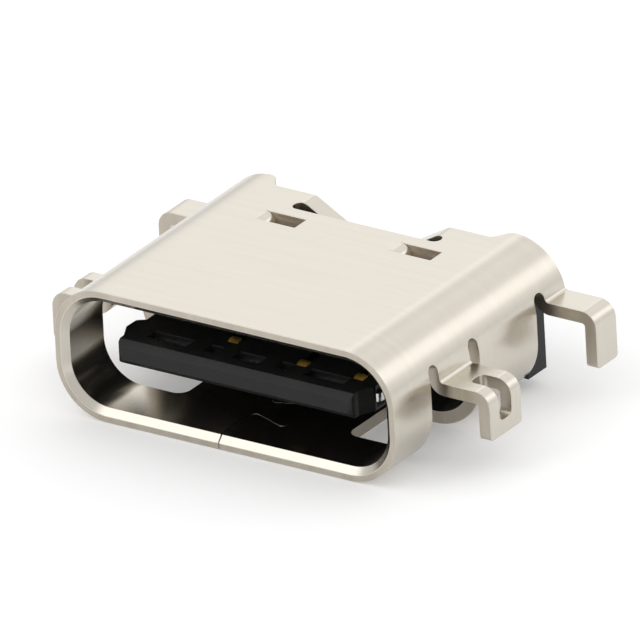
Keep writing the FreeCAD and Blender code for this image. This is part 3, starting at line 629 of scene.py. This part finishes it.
        # Grids on the right half, their mirror images, and the tabs. A grid is from, to and step along u,
        # and the same along y.
        lead = spread(0.06, halfGirth, 0.08)[::2]
        half = [
            gridOf(topRun, topRun + bend, 0.07, 0.2, 1.8, 0.16),
            gridOf(topRun, topRun + bend, 0.07, 1.9, 2.9, 0.2),
            gridOf(topRun, topRun + bend, 0.07, 3.05, 6.75, 0.185),
            gridOf(halfGirth - topRun - bend, halfGirth - topRun, 0.07, 0.2, 5.6, 0.18),
            gridOf(0.3, topRun - 0.25, 0.45, 0.4, 6.6, 0.45),
            gridOf(halfGirth - topRun + 0.25, halfGirth - 0.2, 0.45, 0.4, 5.4, 0.45),
            np.stack([lead, np.full(len(lead), s["leadIn"])], 1),
        ]
        for row, low, high in (("front", legFront, legRear), ("rear", rearFront, s["rearEnd"])):
            root, tip = legs[row]["root"], legs[row]["tip"]
            rootEnd = root + (math.pi / 2 - 0.1) * s["legRoot"]
            bendEnd = tip - (legs[row]["wing"] - s["legBend"] - s["legTip"])
            bendStart = bendEnd - s["legBend"] * math.pi / 2
            half += [
                gridOf(root, rootEnd, 0.01, low + 0.05, high - 0.05, 0.08),
                gridOf(rootEnd + 0.1, bendStart - 0.05, 0.12, low + 0.08, high - 0.08, 0.12),
                gridOf(bendStart, bendEnd, 0.04, low + 0.05, high - 0.05, 0.08)]
        low, high = slitRear + 0.05, s["stripEnd"] - 0.05
        half.append(gridOf(floorReach - 0.05, floorReach + 0.05, 0.0125, low, high, 0.09))
        half.append(gridOf(reach - bridgeReach, reach + bridgeReach, 0.02, low, high, 0.09))
        half = np.concatenate(half)
        low, high, turn = windowFront + 0.05, windowRear - 0.05, shoulder * math.pi / 2
        tabs = [gridOf(end, end + turn, 0.012, low, high, 0.06) for end in windowEnds]
        return np.concatenate([half, half * (-1, 1), *tabs])

    loops = [splitLong(loop, spacingAt) for loop in [sheetOutline(), *sideOpenings(), *topOpenings()]]
    creases = [(-2 * halfGirth, 2 * halfGirth, s["leadIn"])]
    windowLoops = (len(loops) - 2, len(loops) - 1)
    return formSheet(
        "shellSheet", loops, innerPoints(), fold, thicknessAt, s["edgeRadius"], np.array(s["front"]),
        creases, windowLoops)


shell = makeShell(shellSettings)
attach(shell, "root")
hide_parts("shell")
for finish in (shellMetal, edgeMetal, lancedMetal):
    shell.data.materials.append(finish)

# the moulding, plate and contacts are merged copies of their solids with the sharp edges broken
trimSettings = {
    "housing": {"finish": blackPlastic, "slot": "black_moulding", "edge": 0.012, "shortest": 0.03},
    "latch_plate": {"finish": plateMetal, "slot": "plate_metal", "edge": 0.010, "shortest": 0.02},
    "contact": {"finish": platedMetal, "slot": "contact_gold", "edge": 0.012, "shortest": 0.01},
    "all": {
        "segments": 2, "samePoint": 0.0001, "joined": 0.0002, "flatWithin": 0.2, "sharpFrom": 25.0,
        "evenness": 100},
}


def makeTrimmed(node, s):
    # Each flat face is made one again, and each longer edge that turns sharply is weighted for the bevel.
    mesh = bpy.data.meshes.new(node + "Trim")
    source = bmesh.new()
    source.from_mesh(nodes[node].data)
    bmesh.ops.remove_doubles(source, verts=source.verts, dist=s["samePoint"] * mm)
    flatWithin, sharpFrom = math.radians(s["flatWithin"]), math.radians(s["sharpFrom"])
    bmesh.ops.dissolve_limit(source, angle_limit=flatWithin, verts=source.verts, edges=source.edges)
    source.to_mesh(mesh)
    weights = [
        1.0 if len(edge.link_faces) == 2 and edge.calc_face_angle() > sharpFrom
        and edge.calc_length() > s["shortest"] * mm else 0.0 for edge in source.edges]
    source.free()
    mesh.attributes.new("bevel_weight_edge", "FLOAT", "EDGE").data.foreach_set("value", weights)
    places = np.empty(len(mesh.vertices) * 3, np.float32)
    mesh.vertices.foreach_get("co", places)
    fromFront = (places[1::3] - places[1::3].min()) / mm
    mesh.attributes.new("fromFront", "FLOAT", "POINT").data.foreach_set("value", fromFront)
    mesh.materials.append(s["finish"])
    mesh.shade_smooth()
    piece = bpy.data.objects.new(node + "Trim", mesh)
    bpy.context.scene.collection.objects.link(piece)
    bevel = piece.modifiers.new("brokenEdge", "BEVEL")
    bevel.limit_method = "WEIGHT"
    bevel.width = s["edge"] * mm
    bevel.segments = s["segments"]
    bevel.use_clamp_overlap = False
    bevel.miter_outer = "MITER_ARC"
    weld = piece.modifiers.new("joinedCorners", "WELD")
    weld.merge_threshold = s["joined"] * mm
    even = piece.modifiers.new("flatFaces", "WEIGHTED_NORMAL")  # only the broken edge looks round
    even.weight = s["evenness"]
    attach(piece, "root")
    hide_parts(node)


for node in nodes:
    if node != "shell":
        makeTrimmed(node, {**trimSettings["all"], **trimSettings.get(node, trimSettings["contact"])})
print("moulding, plate and contacts trimmed")

# a panel of the sky has the direction of its middle, the angles between which it fades out, and its level
studioSettings = {
    "floorSize": 2000.0, "floorDrop": 0.01, "floorColour": (0.80, 0.80, 0.80), "floorLift": 0.25,
    "sky": 0.79,
    "panels": [
        {"towards": (-0.518, -0.424, 0.743), "within": (8.0, 26.0), "level": 1.0},
        {"towards": (0.05, 0.743, 0.66), "within": (38.0, 60.0), "level": 0.39},
        {"towards": (-0.518, 0.743, 0.424), "within": (6.0, 20.0), "level": 0.08},
        {"towards": (-0.518, -0.738, 0.431), "within": (4.0, 22.0), "level": 0.65},
        {"towards": (-0.43, 0.743, 0.51), "within": (0.5, 7.0), "level": 0.26},
        {"towards": (-0.258, 0.743, 0.617), "within": (0.5, 8.0), "level": -0.12},
        {"towards": (0.19, 0.743, 0.64), "within": (1.0, 10.0), "level": -0.06},
        {"towards": (0.50, 0.743, 0.44), "within": (2.0, 14.0), "level": 0.54},
        {"towards": (0.0, 0.0, -1.0), "within": (84.0, 90.0), "level": 0.21},
    ],
}


def makeFloor(s):
    # A white floor a hair under the part. From below it can be looked through, to the underside.
    reach, level = s["floorSize"] / 2 * mm, -s["floorDrop"] * mm
    mesh = bpy.data.meshes.new("floor")
    corners = [(x * reach, y * reach, level) for x, y in ((-1, -1), (1, -1), (1, 1), (-1, 1))]
    mesh.from_pydata(corners, [], [(0, 1, 2, 3)])
    floor = bpy.data.objects.new("floor", mesh)
    bpy.context.scene.collection.objects.link(floor)
    material, tree, shader = newMaterial("paleFloor")
    shader.inputs["Base Color"].default_value = (*s["floorColour"], 1.0)
    shader.inputs["Roughness"].default_value = 1.0
    shader.inputs["Specular IOR Level"].default_value = 0.0
    path = tree.nodes.new("ShaderNodeLightPath")
    seen = path.outputs["Is Camera Ray"]
    for ray in ("Is Glossy Ray", "Is Transmission Ray"):
        either = tree.nodes.new("ShaderNodeMath")
        either.operation = "MAXIMUM"
        tree.links.new(seen, either.inputs[0])
        tree.links.new(path.outputs[ray], either.inputs[1])
        seen = either.outputs[0]
    lift = tree.nodes.new("ShaderNodeEmission")
    tree.links.new(ranged(tree, seen, 0, 1, 0, s["floorLift"]), lift.inputs["Strength"])
    both = tree.nodes.new("ShaderNodeAddShader")
    tree.links.new(shader.outputs[0], both.inputs[0])
    tree.links.new(lift.outputs[0], both.inputs[1])
    oneSided = tree.nodes.new("ShaderNodeMixShader")
    tree.links.new(tree.nodes.new("ShaderNodeNewGeometry").outputs["Backfacing"], oneSided.inputs[0])
    tree.links.new(both.outputs[0], oneSided.inputs[1])
    tree.links.new(tree.nodes.new("ShaderNodeBsdfTransparent").outputs[0], oneSided.inputs[2])
    output = next(node for node in tree.nodes if node.type == "OUTPUT_MATERIAL")
    tree.links.new(oneSided.outputs[0], output.inputs[0])
    mesh.materials.append(material)


def makeSky(s):
    # An even white sky with soft panels: each adds its level near its middle and fades with the angle.
    world = bpy.data.worlds.new("studio")
    bpy.context.scene.world = world
    world.use_nodes = True
    tree = world.node_tree
    background = tree.nodes["Background"]
    background.inputs["Color"].default_value = (1, 1, 1, 1)
    way = tree.nodes.new("ShaderNodeTexCoord").outputs["Generated"]
    total = None
    for panel in s["panels"]:
        middle = Vector(panel["towards"]).normalized()
        near, far = (math.cos(math.radians(angle)) for angle in panel["within"])
        across = tree.nodes.new("ShaderNodeVectorMath")
        across.operation = "DOT_PRODUCT"
        across.inputs[1].default_value = middle
        tree.links.new(way, across.inputs[0])
        glow = ranged(tree, across.outputs["Value"], far, near, 0, panel["level"])
        glow.node.interpolation_type = "SMOOTHSTEP"
        add = tree.nodes.new("ShaderNodeMath")
        add.inputs[0].default_value = s["sky"]
        if total is not None:
            tree.links.new(total, add.inputs[0])
        tree.links.new(glow, add.inputs[1])
        total = add.outputs[0]
    tree.links.new(total, background.inputs["Strength"])


makeFloor(studioSettings)
makeSky(studioSettings)
print("floor and light in place")

bpy.context.scene.view_settings.view_transform = "Standard"
